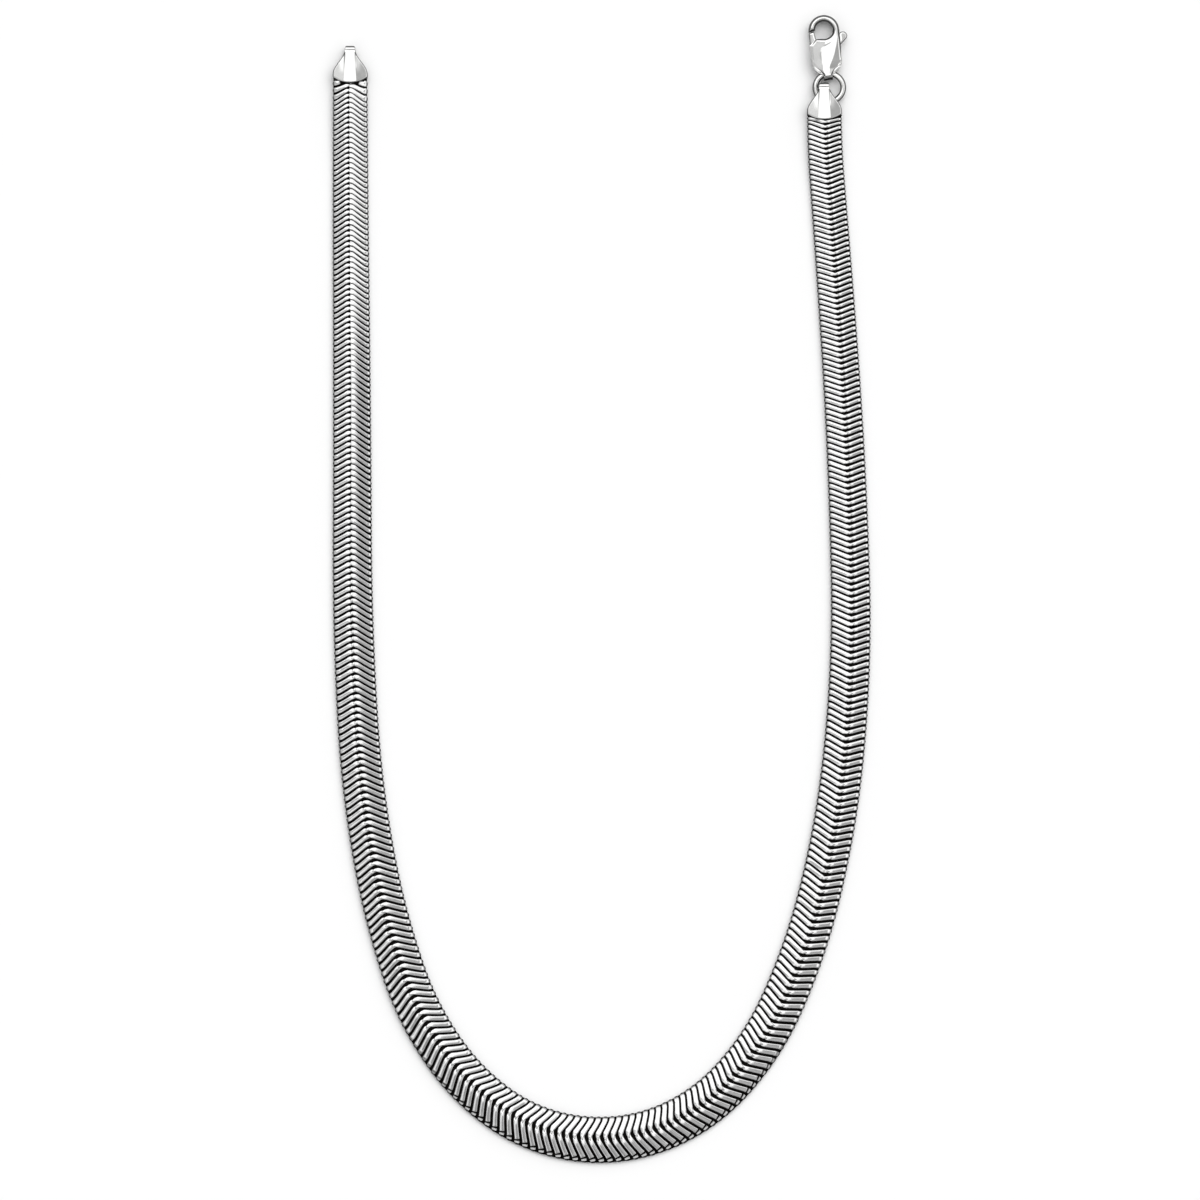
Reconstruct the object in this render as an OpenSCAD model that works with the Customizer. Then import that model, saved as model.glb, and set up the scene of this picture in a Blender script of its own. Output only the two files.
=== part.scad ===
/* [Chain] */
// Length of the woven chain along its middle, with the ends held inside the caps
chain_len = 433; // [400:1:460]
// Width of the chain at its two ends
end_w = 6.5; // [6.2:0.1:7.2]
// Width of the chain at its middle, where it is widest
mid_w = 8.8; // [7.6:0.1:10]
// Thickness of the chain on its ridge at the ends
end_t = 1.4; // [1.3:0.05:1.6]
// Thickness of the chain on its ridge at the middle
mid_t = 1.9; // [1.5:0.1:2.3]
// Number of slanting ribs along the chain
rib_count = 371; // [320:1:400]
// How many times wider a rib is at the middle than at the ends
rib_grow = 1.63; // [1.3:0.01:2]
// Slant of the ribs away from straight across, in degrees
rib_slant = 33; // [25:1:36]
// Depth of the groove between two ribs
groove_d = 0.25; // [0.1:0.05:0.35]

/* [End caps] */
// Length of a cap from its curved edge to the tip of its loop
cap_len = 6.9; // [6.6:0.1:7.4]
// Length of chain held inside a cap
cap_grip = 1.9; // [1.6:0.1:2]
// Width of the loop's strap
strap_w = 1.9; // [1.7:0.1:2]
// Thickness of the cap's back plate
back_t = 0.4; // [0.35:0.05:0.5]
// Thickness of the cap's front plate
front_t = 0.5; // [0.45:0.05:0.6]

/* [Jump ring] */
// Diameter of the ring's wire
ring_wire = 1.1; // [0.9:0.05:1.15]
// Inside diameter of the ring
ring_in = 4.1; // [4:0.05:4.3]

/* [Clasp] */
// Width of the clasp across its body and hook
clasp_w = 5.74; // [5.6:0.02:6]
// Thickness of the clasp
clasp_t = 2.6; // [2.5:0.1:3]
// Distance from the tail eye to the middle of the hook
hook_reach = 8.13; // [8:0.01:8.4]
// Diameter of the hook's opening
hook_hole = 3.25; // [3:0.05:3.4]
// Lean of the clasp to the left of straight up, in degrees
clasp_lean = 5.5; // [2:0.5:8]
// Thickness of the lever
lever_t = 1.3; // [1.1:0.05:1.35]
// Diameter of the lever's hinge pin
pin_d = 0.8; // [0.6:0.05:0.9]
// Angle through which the lever opens, in degrees
lever_open = 25; // [15:1:26]

/* [Hidden] */
$fn = 64;
SILVER = "#c9cacb";
BRIGHT = "#dcddde";

// Clearance between neighbouring pieces, and around the ring's wire in an eye or loop
gap = 0.1;
ring_play = 0.15;

// How the chain lies: share of its length, and its heading there in degrees from +X
route = [
    [0.00, -90], [0.10, -89.5], [0.20, -90], [0.28, -86.5], [0.34, -79.5], [0.39, -71],
    [0.43, -54], [0.46, -36.5], [0.54, 25], [0.57, 46.5], [0.61, 65.5], [0.66, 76],
    [0.72, 84], [0.80, 91.5], [0.90, 94], [0.97, 94.5], [1.00, 90]
];

// Section of the chain, round from its lower left:
// place to the side as a share of the half width, height as a share of the thickness
section = [
    [-0.93, 0], [0.93, 0], [1, 0.35], [0.9, 0.62], [0, 1], [-0.9, 0.62], [-1, 0.35]
];
edge_side = section[3][0];
edge_high = section[3][1];

// Length over which the ribs turn from straight across at an end to their full slant
slant_run = 3.5;
// Flat stretch beside a cap, and the stretch in which the chain comes down from the cap
lift_flat = 3;
lift_run = 15;

// The chain's middle line as points about half a millimetre apart
path_n = ceil(chain_len / 0.5);
path_d = chain_len / path_n;
path = [
    for (i = 0, p = [0, 0]; i <= path_n; p = p + path_d * along((i + 0.5) * path_d), i = i + 1) p
];

function heading(s) = lookup(s / chain_len, route);
function along(s) = [cos(heading(s)), sin(heading(s))];
function to_right(s) = [sin(heading(s)), -cos(heading(s))];
function on_path(s) = let (q = min(max(s, 0), chain_len) / path_d, i = min(floor(q), path_n - 1))
    path[i] + (q - i) * (path[i + 1] - path[i]);
function smooth(t) = let (c = min(max(t, 0), 1)) c * c * (3 - 2 * c);

// Distance to the nearer end, and how far the chain has widened, from 0 to 1
function from_end(s) = min(s, chain_len - s);
function grade(s) = 2 * from_end(s) / chain_len;
function half_w(s) = (end_w + (mid_w - end_w) * grade(s)) / 2;
function thick(s) = end_t + (mid_t - end_t) * grade(s);
function slant(s) = tan(rib_slant) * min(1, from_end(s) / slant_run);
function lift(s) = (back_t + gap) * (1 - smooth((from_end(s) - lift_flat) / lift_run));

// Place of rib k along the chain: the ribs grow evenly toward the middle
function rib_share(v) = (pow(rib_grow, v) - 1) / (rib_grow - 1) / 2;
function rib_at(k) = let (u = k / rib_count)
    chain_len * (u < 0.5 ? rib_share(2 * u) : 1 - rib_share(2 - 2 * u));

// Ring j of the woven band: even rings lie in the grooves, odd rings on the ribs
function band_ring(j) = let (s0 = rib_at(j / 2), dip = j % 2 == 0 ? groove_d : 0) [
    for (c = section) let (
        side = c[0] * (half_w(s0) - dip / 2),
        s = s0 + abs(side) * slant(s0),
        xy = on_path(s) + side * to_right(s)
    ) [xy.x, xy.y, lift(s) + c[1] * thick(s) - (c[1] > 0 ? dip : 0)]
];
band_rings = [for (j = [0:2 * rib_count]) band_ring(j)];
band_points = [for (r = band_rings) for (p = r) p];

// Cap heights: the chain's end and its clearances between the two plates
chain_z = back_t + gap;
pocket_top = chain_z + end_t + gap;
cap_h = pocket_top + front_t;
roof_fall = end_t * (1 - edge_high) / (edge_side * end_w / 2);
edge_r = 5.5;
tip_r = 0.6;
shoulder_low = 1.6;
shoulder_high = cap_len - tip_r;
loop_r = ring_wire / 2 + ring_play;
loop_z = cap_h / 2;
loop_low = 3.4;
loop_wall = 0.5;
loop_high = cap_len - loop_wall - loop_r;

// Jump ring, placed from the right cap's curved edge
ring_mid = (ring_in + ring_wire) / 2;
ring_side = 0.95;
ring_up = loop_low + ring_mid;

// Tail eye of the clasp, its hole lying across the clasp
eye_play = 0.25;
eye_wall = 0.4;
eye_hole_r = ring_wire / 2 + eye_play;
eye_r = eye_hole_r + eye_wall;
eye_w = 1.7;
eye_drop = 0.07;

// Clasp outline and lever, measured from the tail eye
clasp_r = clasp_w / 2;
body_up = 2.55;
clasp_mid = clasp_t / 2;
crown_r = 12;
pivot = [-1.27, 2.81];
hub_r = 1;
mouth_r = 5.38;
slot_t = lever_t + 2 * gap;
tab = [3.43, 6.8];
tab_r = 0.8;
hook_corner = [-1.62, 6.63];
cheek_end = [-2.63, 5.72];
opening_low = [0.3, 6.5];
mouth_in = [-1, 7.2];
gate_tip = [-1.93, 8.4];
gate_inset = 0.03;
gate_play = 1.5 * gap;
pin_r = pin_d / 2;
pin_play = 0.05;
pin_skin = 0.2;

// Angles about the pivot: the closed arm, the room beside it, the slot's walls, the gate's roots
arm_turn = atan2(tab.y - pivot.y, tab.x - pivot.x);
arm_room = 17;
slot_low = arm_turn - lever_open - arm_room;
slot_high = arm_turn + 2;
slot_reach = 3 * clasp_r;
wall_turn = 125;
gate_low = 25;
gate_high = 118;

// Low shoulders beside the tail: their depth below the front, and their inner corners
shoulder_drop = 0.45;
shoulder_in = [0.8, 0.6];
shoulder_up = 3.2;

// Ends of the chain at the caps, and the turns that point a cap away from the chain
left_at = on_path(cap_grip);
right_at = on_path(chain_len - cap_grip);
left_turn = heading(cap_grip) + 90;
right_turn = heading(chain_len - cap_grip) - 90;
ring_at = right_at + turned([ring_side, ring_up], right_turn);
eye_at = ring_at + turned([0, ring_mid - eye_drop], clasp_lean);
hook_at = eye_at + turned([0, hook_reach], clasp_lean);

function turned(p, a) = [p.x * cos(a) - p.y * sin(a), p.x * sin(a) + p.y * cos(a)];

// The origin is on the surface below the middle of the whole piece
low_x = min([for (p = band_points) p.x]);
high_x = max([for (p = band_points) p.x]);
low_y = min([for (p = band_points) p.y]);
high_y = hook_at.y + clasp_r;
shift = [-(low_x + high_x) / 2, -(low_y + high_y) / 2, 0];

// The woven band, one closed solid with its ribs in relief
module woven_band() {
    n = len(section);
    last = 2 * rib_count;
    sides = [
        for (j = [0:last - 1]) for (k = [0:n - 1]) let (
            a = j * n + k,
            b = j * n + (k + 1) % n
        ) each [[a, b, b + n], [a, b + n, a + n]]
    ];
    start = [for (k = [1:n - 2]) [0, k + 1, k]];
    end = [for (k = [1:n - 2]) [last * n, last * n + k, last * n + k + 1]];
    polyhedron(band_points, concat(sides, start, end), convexity = 8);
}

// A rectangle between two corners
module box2(low, high) {
    translate(low) square(high - low);
}

// Outline turned to stand across the cap: first share sideways, second upward
module across(length) {
    translate([0, length, 0]) rotate([90, 0, 0]) linear_extrude(length) children();
}

// Profile seen from the side, along the cap and upward, run through its whole width
module through(width) {
    translate([-width / 2, 0, 0]) rotate([90, 0, 90]) linear_extrude(width) children();
}

// A cap from the front: full width at the chain, drawn in to the narrow loop
module cap_plan() {
    steps = 12;
    side = [
        for (i = [0:steps]) let (t = i / steps) [
            strap_w / 2 + (end_w - strap_w) / 4 * (1 + cos(180 * t)),
            shoulder_low + (shoulder_high - shoulder_low) * t
        ]
    ];
    mirrored = [for (i = [steps:-1:0]) [-side[i].x, side[i].y]];
    polygon(concat([[end_w / 2, 0]], side, mirrored, [[-end_w / 2, 0]]));
    box2([tip_r - strap_w / 2, shoulder_low], [strap_w / 2 - tip_r, cap_len]);
    for (x = [-1, 1]) translate([x * (strap_w / 2 - tip_r), shoulder_high]) circle(tip_r);
}

// Space for the chain's end, open to both sides and at the curved edge
module cap_pocket() {
    w = end_w;
    translate([0, -1, 0]) across(1 + cap_grip + gap) polygon([
        [-w, back_t], [w, back_t], [w, pocket_top - roof_fall * w],
        [0, pocket_top], [-w, pocket_top - roof_fall * w]
    ]);
}

// Space for the jump ring inside the folded loop, open to both sides
module cap_loop() {
    through(2 * end_w) {
        box2([loop_low, loop_z - loop_r], [loop_high, loop_z + loop_r]);
        for (y = [loop_low, loop_high]) translate([y, loop_z]) circle(loop_r);
    }
}

module cap() {
    low = cap_h - roof_fall * end_w;
    difference() {
        intersection() {
            linear_extrude(cap_h) cap_plan();
            across(cap_len) polygon([[-end_w, 0], [end_w, 0], [end_w, low], [0, cap_h], [-end_w, low]]);
            through(2 * end_w) {
                box2([0, 0], [cap_len - cap_h / 2, cap_h]);
                translate([cap_len - cap_h / 2, cap_h / 2]) circle(cap_h / 2);
            }
            translate([0, edge_r, 0]) cylinder(r = edge_r, h = cap_h, $fn = 128);
        }
        cap_pocket();
        cap_loop();
    }
}

// Straight bar with round ends, between two circles
module bar(p, p_r, q, q_r) {
    d = q - p;
    a = atan2(d.y, d.x);
    tilt = acos((p_r - q_r) / norm(d));
    translate(p) circle(p_r);
    translate(q) circle(q_r);
    polygon([
        p + p_r * [cos(a - tilt), sin(a - tilt)],
        q + q_r * [cos(a - tilt), sin(a - tilt)],
        q + q_r * [cos(a + tilt), sin(a + tilt)],
        p + p_r * [cos(a + tilt), sin(a + tilt)]
    ]);
}

// Part of a disc about the lever's pivot, between two angles
module wedge(from, to, r) {
    steps = ceil((to - from) / 30);
    intersection() {
        translate(pivot) circle(r, $fn = 96);
        polygon(concat([pivot], [
            for (i = [0:steps]) let (a = from + (to - from) * i / steps)
                pivot + 2 * r * [cos(a), sin(a)]
        ]));
    }
}

// Clasp seen from the front: long body and round hook in one outline
module clasp_outline() {
    box2([-clasp_r, body_up], [clasp_r, hook_reach]);
    for (y = [body_up, hook_reach]) translate([0, y]) circle(clasp_r);
}

// The hook's opening, with the flat lower left where the gate closes it
module hook_opening() {
    translate([0, hook_reach]) circle(d = hook_hole);
    polygon([hook_corner, opening_low, [0, hook_reach], [hook_corner.x, hook_reach]]);
}

// The mouth beside the opening, cut back to an arc about the pivot
module hook_mouth() {
    outside = -clasp_r - 0.5;
    intersection() {
        translate(pivot) circle(mouth_r, $fn = 96);
        polygon([
            mouth_in, hook_corner, cheek_end, [outside, cheek_end.y - 0.5],
            [outside, hook_reach + 1], [mouth_in.x, hook_reach + 1]
        ]);
    }
}

// The lever: hub, gate that closes the mouth, and arm with the thumb tab
module lever_plan(grow = 0) {
    inner = pivot + hub_r * [cos(gate_low), sin(gate_low)];
    outer = pivot + hub_r * [cos(gate_high), sin(gate_high)];
    gate_x = -clasp_r + gate_inset;
    translate(pivot) circle(hub_r + grow);
    bar(pivot, hub_r + grow, tab, tab_r + grow);
    intersection() {
        translate(pivot) circle(mouth_r - gap, $fn = 96);
        polygon([
            inner, hook_corner, gate_tip, [gate_x, gate_tip.y],
            [gate_x, cheek_end.y + 0.1], outer
        ]);
    }
}

// Space between the two cheeks, in which the lever turns from closed to open
module lever_slot() {
    wedge(slot_low, wall_turn, mouth_r);
    wedge(slot_low, slot_high, slot_reach);
    for (turn = [0, -lever_open]) {
        translate(pivot) rotate(turn) translate(-pivot) lever_plan(grow = gate_play);
    }
}

// The body's round edges: thickest along its middle
module crowned(height) {
    reach = hook_reach + 2 * clasp_r;
    intersection() {
        linear_extrude(height) children();
        for (z = [height - crown_r, crown_r]) {
            translate([0, -clasp_r, z]) rotate([-90, 0, 0]) cylinder(r = crown_r, h = reach, $fn = 128);
        }
    }
}

// Low shoulders beside the tapering front of the tail
module tail_shoulders() {
    side = clasp_r + 0.1;
    for (x = [-1, 1]) {
        translate([0, 0, clasp_t - shoulder_drop]) linear_extrude(1) polygon([
            [x * shoulder_in.x, -1], [x * shoulder_in.x, shoulder_in.y],
            [x * side, shoulder_up], [x * side, -1]
        ]);
    }
}

// Space around the jump ring where it passes below the tail
module ring_space() {
    translate([0, eye_drop - ring_mid, loop_z - loop_r]) linear_extrude(2 * loop_r) difference() {
        circle(ring_mid + loop_r);
        circle(ring_mid - loop_r);
    }
}

module tail_eye() {
    through(eye_w) translate([0, loop_z]) difference() {
        circle(eye_r);
        circle(eye_hole_r);
    }
}

// Puts a cap where the chain ends, or the clasp on its ring
module placed(at, turn) {
    translate(shift) translate(at) rotate(turn) children();
}

module chain() {
    color(SILVER) translate(shift) woven_band();
}

module end_cap_left() {
    color(BRIGHT) placed(left_at, left_turn) cap();
}

module end_cap_right() {
    color(BRIGHT) placed(right_at, right_turn) cap();
}

module jump_ring() {
    color(BRIGHT) placed(ring_at, 0) translate([0, 0, loop_z])
        rotate_extrude() translate([ring_mid, 0]) circle(d = ring_wire);
}

module clasp_body() {
    color(BRIGHT) placed(eye_at, clasp_lean) {
        difference() {
            crowned(clasp_t) difference() {
                clasp_outline();
                hook_opening();
                hook_mouth();
            }
            translate([0, 0, clasp_mid - slot_t / 2]) linear_extrude(slot_t) lever_slot();
            translate([pivot.x, pivot.y, pin_skin - pin_play])
                cylinder(r = pin_r + pin_play, h = clasp_t - 2 * (pin_skin - pin_play));
            ring_space();
            tail_shoulders();
            translate([0, 0, loop_z]) rotate([0, 90, 0])
                cylinder(r = eye_hole_r, h = eye_w + 4, center = true);
        }
        tail_eye();
    }
}

module clasp_lever() {
    color(BRIGHT) placed(eye_at, clasp_lean) translate([0, 0, clasp_mid - lever_t / 2])
        linear_extrude(lever_t) difference() {
            lever_plan();
            translate(pivot) circle(pin_r + pin_play);
        }
}

module lever_pin() {
    color(SILVER) placed(eye_at, clasp_lean) translate([pivot.x, pivot.y, pin_skin])
        cylinder(r = pin_r, h = clasp_t - 2 * pin_skin);
}

chain();
end_cap_left();
end_cap_right();
jump_ring();
clasp_body();
clasp_lever();
lever_pin();
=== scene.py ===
"""Dresses the herringbone chain: its woven wires, end caps, jump ring and clasp in polished silver."""
import math
import bpy
import numpy as np
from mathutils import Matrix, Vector
from mathutils.kdtree import KDTree


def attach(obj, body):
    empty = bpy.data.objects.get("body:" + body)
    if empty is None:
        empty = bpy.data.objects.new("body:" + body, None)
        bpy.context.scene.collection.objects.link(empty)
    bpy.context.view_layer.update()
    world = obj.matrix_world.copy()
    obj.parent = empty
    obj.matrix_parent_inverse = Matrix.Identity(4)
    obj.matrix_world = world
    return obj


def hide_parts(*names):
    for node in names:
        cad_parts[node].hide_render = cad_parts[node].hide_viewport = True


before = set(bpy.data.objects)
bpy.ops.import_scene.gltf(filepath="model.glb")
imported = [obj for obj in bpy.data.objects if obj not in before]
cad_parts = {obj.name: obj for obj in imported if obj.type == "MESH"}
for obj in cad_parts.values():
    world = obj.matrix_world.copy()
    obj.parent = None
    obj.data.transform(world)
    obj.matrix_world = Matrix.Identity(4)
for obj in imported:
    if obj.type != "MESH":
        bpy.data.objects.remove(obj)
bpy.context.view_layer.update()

MM = 0.001

# Sizes in millimetres, as in the model's source: the chain
CHAIN_LEN = 433
END_W, MID_W = 6.5, 8.8
END_T, MID_T = 1.4, 1.9
RIB_COUNT = 371
RIB_GROW = 1.63
# How far the chain rises into the caps, and the length over which it does
CHAIN_LIFT = 0.5
LIFT_FLAT, LIFT_RUN = 3, 15
# Length at each end over which the ribs take up their slant
SLANT_RUN = 3.5
# Height of the face at the edge as a share of the thickness, and how far in it lies
EDGE_HIGH = 0.62
EDGE_FLAT = 0.44
WIDEST = MID_W / 2
# The caps: length of chain held, radius of the curved edge, and the loop
CAP_GRIP = 1.9
EDGE_R = 5.5
LOOP_LOW, LOOP_R = 3.4, 0.7
# The ring: its place beside the loop, and the radius of its middle line
RING_SIDE = 0.95
RING_MID = 2.6
# The clasp: slack of its tail eye on the ring, lean in degrees, and thickness
EYE_DROP = 0.07
CLASP_LEAN = 5.5
CLASP_T = 2.6
# How the chain lies: share of its length, and its heading there in degrees from +X
ROUTE = [
    (0.00, -90), (0.10, -89.5), (0.20, -90), (0.28, -86.5), (0.34, -79.5), (0.39, -71),
    (0.43, -54), (0.46, -36.5), (0.54, 25), (0.57, 46.5), (0.61, 65.5), (0.66, 76),
    (0.72, 84), (0.80, 91.5), (0.90, 94), (0.97, 94.5), (1.00, 90),
]
SHIFT = (-46.8311, 96.1961)
# Steps of the middle line in millimetres
STEP = 0.5

# Length over which a bend is measured, and between which bends, in radians a millimetre, the ridge
# moves inward, and how far
BEND_SPAN = 12
BEND_LOW, BEND_HIGH = 0.007, 0.029
RIDGE_SHIFT = 0.8
# Roundness of the ridge in millimetres, and how far the arms arch above a straight slope
RIDGE_ROUND = 0.9
ARCH = 0.14
# Depth of a wire as a share of the thickness
WIRE_DEPTH = 0.30
# Last millimetres in which an arm loses its slant, and the share of the slant that is left
EDGE_EASE, EDGE_SLOPE = 1.3, 0.1
# How far the rows over the edge follow the face's height there
EDGE_FADE = np.array([1.0, 0.9, 0.75, 0.5, 0.3, 0.1, 0, 0, 0])
# Reach of the painted shadow, black as the oxide, beyond a cap, and its soft border
CAP_SHADOW_REACH, CAP_SHADOW_SOFT = 0.35, 0.2
# The white spine near the ends: distances from the ridge within which an arm's start is widened in
# full and at all, and how wide the inner starts are and which of their rings
SPINE_START, SPINE_END = 0.5, 1.2
SPINE_WIDE, SPINE_SHARE = 1.03, 1.02
SPINE_RINGS = slice(1, 7)
# How wide the outer starts are, and how their widening sets in with the distance from the ridge
KNUCKLE = 0.95
KNUCKLE_START, KNUCKLE_LATE = 0.60, 0.4
# There the inner arms' noses are shorter, the dips shallower, and the outer arms begin further
# under the spine
NUB_SHORT = 0.75
DIP_CUT = 0.7
UNDER = 0.3
# How far before the first row over the edge an arm's straight part ends
ARM_STOP = 0.15
# Depth share of the rings at an arm's start, and how much more it is a width share
START_DEEP, START_DEEPER = 0.35, 0.6
# Slant of the arms on the back, how far they are staggered from the front, and their depth share
BACK_SLANT = 0.6
BACK_STAGGER = 0.5
BACK_DEEP = 0.8
# Scatter between wires: roll in degrees, and how deep one may lie
ROLL = 1.4
SUNK = 0.03


def heading(s):
    """Direction of the chain's middle line, in radians from +X."""
    share, angle = zip(*ROUTE)
    return np.radians(np.interp(s / CHAIN_LEN, share, angle))


def middle_line():
    """The chain's middle line as lengths and points, about one STEP apart."""
    count = math.ceil(CHAIN_LEN / STEP)
    step = CHAIN_LEN / count
    turn = heading((np.arange(count) + 0.5) * step)
    x = np.concatenate([[0], np.cumsum(step * np.cos(turn))]) + SHIFT[0]
    y = np.concatenate([[0], np.cumsum(step * np.sin(turn))]) + SHIFT[1]
    return np.arange(count + 1) * step, x, y


LINE_S, LINE_X, LINE_Y = middle_line()


def on_chain(s, side):
    """Points at length s and a distance to the right of the middle line."""
    s = np.clip(s, 0, CHAIN_LEN)
    turn = heading(s)
    x = np.interp(s, LINE_S, LINE_X) + side * np.sin(turn)
    y = np.interp(s, LINE_S, LINE_Y) - side * np.cos(turn)
    return x, y


def from_end(s):
    """Distance along the chain from its nearer end."""
    return np.minimum(s, CHAIN_LEN - s)


def grade(s):
    """How far the chain has widened at s, from 0 at the ends to 1 at the middle."""
    return np.clip(2 * from_end(s) / CHAIN_LEN, 0, 1)


def half_width(s):
    return (END_W + (MID_W - END_W) * grade(s)) / 2


def thickness(s):
    return END_T + (MID_T - END_T) * grade(s)


def smoothstep(low, high, x):
    t = np.clip((x - low) / (high - low), 0, 1)
    return t * t * (3 - 2 * t)


def lift(s):
    """Height of the chain's underside above the table."""
    return CHAIN_LIFT * (1 - smoothstep(LIFT_FLAT, LIFT_FLAT + LIFT_RUN, from_end(s)))


def rib_place(k):
    """Length along the chain of rib edge k."""
    u = np.asarray(k, float) / RIB_COUNT
    near = np.where(u < 0.5, 2 * u, 2 - 2 * u)
    share = (RIB_GROW ** near - 1) / (RIB_GROW - 1) / 2
    return CHAIN_LEN * np.where(u < 0.5, share, 1 - share)


def bending(s):
    """How sharply the chain bends to the left at s, in radians a millimetre."""
    return (heading(s + BEND_SPAN) - heading(s - BEND_SPAN)) / (2 * BEND_SPAN)


def ridge(s):
    """Place of the ridge right of the middle line: it moves inward where the chain bends."""
    share = (bending(s) - BEND_LOW) / (BEND_HIGH - BEND_LOW)
    return -RIDGE_SHIFT * np.clip(share, 0, 1)


# How the ribs change along the chain. Columns: share of the ribs, run of the inner and the outer
# arms a millimetre across, width of the inner and the outer arms as a share of their spacing, how
# far the inner ends widen into one spine, how the inner and the outer arms are rolled, in degrees,
# and how far the outer ends widen into knuckles
RIBS = [
    (0.00, 0.74, 0.66, 0.86, 0.70, 1.0, 17, 4, 0.4), (0.10, 0.74, 0.62, 0.80, 0.64, 1.0, 17, 4, 1.0),
    (0.16, 0.70, 0.57, 0.64, 0.68, 1.0, 0, 5, 1.0), (0.27, 0.66, 0.52, 0.68, 0.68, 0.3, 0, 5, 1.0),
    (0.38, 0.55, 0.56, 0.68, 0.68, 0.0, 4, -2, 0.6), (0.49, 0.62, 0.60, 0.76, 0.66, 0.0, 5, 0, 0.0),
    (0.58, 0.51, 0.42, 0.76, 0.65, 0.0, 2, 0, 0.0), (0.70, 0.46, 0.36, 0.72, 0.64, 0.0, 0, 0, 0.0),
    (0.89, 0.40, 0.32, 0.74, 0.62, 0.0, 0, 0, 0.0), (1.00, 0.40, 0.32, 0.74, 0.62, 0.0, 0, 0, 0.0),
]
# Section of a flattened wire: across as a share of the half width, depth below the face as a share
# of the wire's depth, and how much black oxide lies there
WIRE = np.array([
    (0.00, 0.000, 0.0), (0.58, 0.006, 0.0), (0.80, 0.035, 0.0), (0.92, 0.11, 0.25),
    (0.985, 0.25, 0.9), (1.00, 0.46, 1.0), (0.97, 0.80, 1.0), (0.60, 1.00, 1.0),
    (-0.60, 1.00, 1.0), (-0.97, 0.80, 1.0), (-1.00, 0.46, 1.0), (-0.985, 0.25, 0.9),
    (-0.92, 0.11, 0.25), (-0.80, 0.035, 0.0), (-0.58, 0.006, 0.0),
])

# The start of an arm at the ridge: distance from the ridge and run off the arm's line, both in rib
# spacings, width share, and height off the arm's line as a share of the thickness
INNER_START = [
    (-0.66, -0.14, 0.12, -0.08), (-0.62, -0.14, 0.32, -0.03), (-0.52, -0.13, 0.46, 0.01),
    (-0.34, -0.10, 0.54, 0.02), (-0.14, -0.05, 0.62, 0.01), (0.02, -0.01, 0.74, 0.00),
    (0.16, 0.00, 0.86, 0.00), (0.34, 0.00, 1.04, 0.00), (0.55, 0.00, 1.05, 0.00),
]
OUTER_START = [
    (-0.10, 0.12, 0.30, -0.22), (0.00, 0.12, 0.54, -0.16), (0.14, 0.09, 0.60, -0.12),
    (0.34, 0.05, 0.72, -0.08), (0.58, 0.02, 0.94, -0.05), (0.85, 0.00, 1.04, -0.01),
]
# Where the inner and the outer arms begin and end to take up their slant, in rib spacings from the
# ridge
SLANT_START = [(0.0, 0.50), (0.15, 0.75)]
# The rest of the front of an arm, in shares of the way from its start to its end
ARM = [(0.22, 1.0), (0.48, 1.0), (0.74, 1.0), (1.0, 1.0)]
# The end of an arm over the edge: distance from the edge in millimetres at the widest place, height
# as a share of the thickness, width share, depth share, and tilt of the face in degrees
EDGE = [
    (0.90, 0.672, 1.02, 0.95, 18), (0.58, 0.612, 1.02, 0.90, 22), (0.30, 0.565, 0.96, 0.85, 32),
    (0.15, 0.50, 0.82, 0.80, 52), (0.06, 0.40, 0.60, 0.75, 68), (0.01, 0.30, 0.44, 0.70, 86),
    (0.02, 0.18, 0.50, 0.70, 98), (0.08, 0.07, 0.66, 0.70, 125), (0.24, 0.01, 0.86, 0.75, 160),
]
# The same where the chain bends most, on the outer side: a long slope down to the edge
BENT_EDGE = [
    (1.18, 0.668, 1.00, 0.95, 18), (1.02, 0.640, 1.00, 0.85, 30), (0.88, 0.600, 0.99, 0.75, 40),
    (0.68, 0.520, 1.04, 0.66, 48), (0.42, 0.385, 1.00, 0.60, 52), (0.20, 0.240, 0.84, 0.60, 58),
    (0.04, 0.120, 0.46, 0.60, 78), (0.06, 0.05, 0.62, 0.65, 125), (0.22, 0.01, 0.86, 0.75, 160),
]
# Black oxide and painted shade on those rows, where the wires turn down over the edge
EDGE_OXIDE_AND_SHADE = np.array([0, 0, 0.2, 0.8, 0.9, 0.4, 0, 0, 0])
BENT_OXIDE_AND_SHADE = np.array([0.2, 1.0, 0.9, 0, 0, 0, 0, 0, 0])
# Bends in radians a millimetre at which that slope begins and is complete
BENT_LOW, BENT_HIGH = 0.014, 0.026
# Back arm, from the edge to the ridge: share of the way in, width share
BACK = [(0.14, 0.94), (0.45, 1.00), (0.80, 1.00), (1.0, 0.75)]
# Section of the band of links between the front and back arms, painted black as the shade seen through
# the gaps, as shares of the half width and of the thickness, with its slant, the length over which it
# takes that up, how far it runs behind the ribs' edges, and its ends' distance from the chain's
LINK_ACROSS = np.array([-0.96, -0.45, 0.0, 0.45, 0.96, 0.96, 0.0, -0.96])
LINK_HIGH = np.array([0.36, 0.44, 0.52, 0.44, 0.36, 0.16, 0.20, 0.16])
LINK_SLANT, LINK_EASE = 0.6, 8
LINK_LATE = 0.5
LINK_END = 0.4


def along_chain(k, column):
    """A column of the table of ribs at ribs k."""
    table = np.array(RIBS)
    return np.interp((k + 0.5) / RIB_COUNT, table[:, 0], table[:, column])


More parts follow.
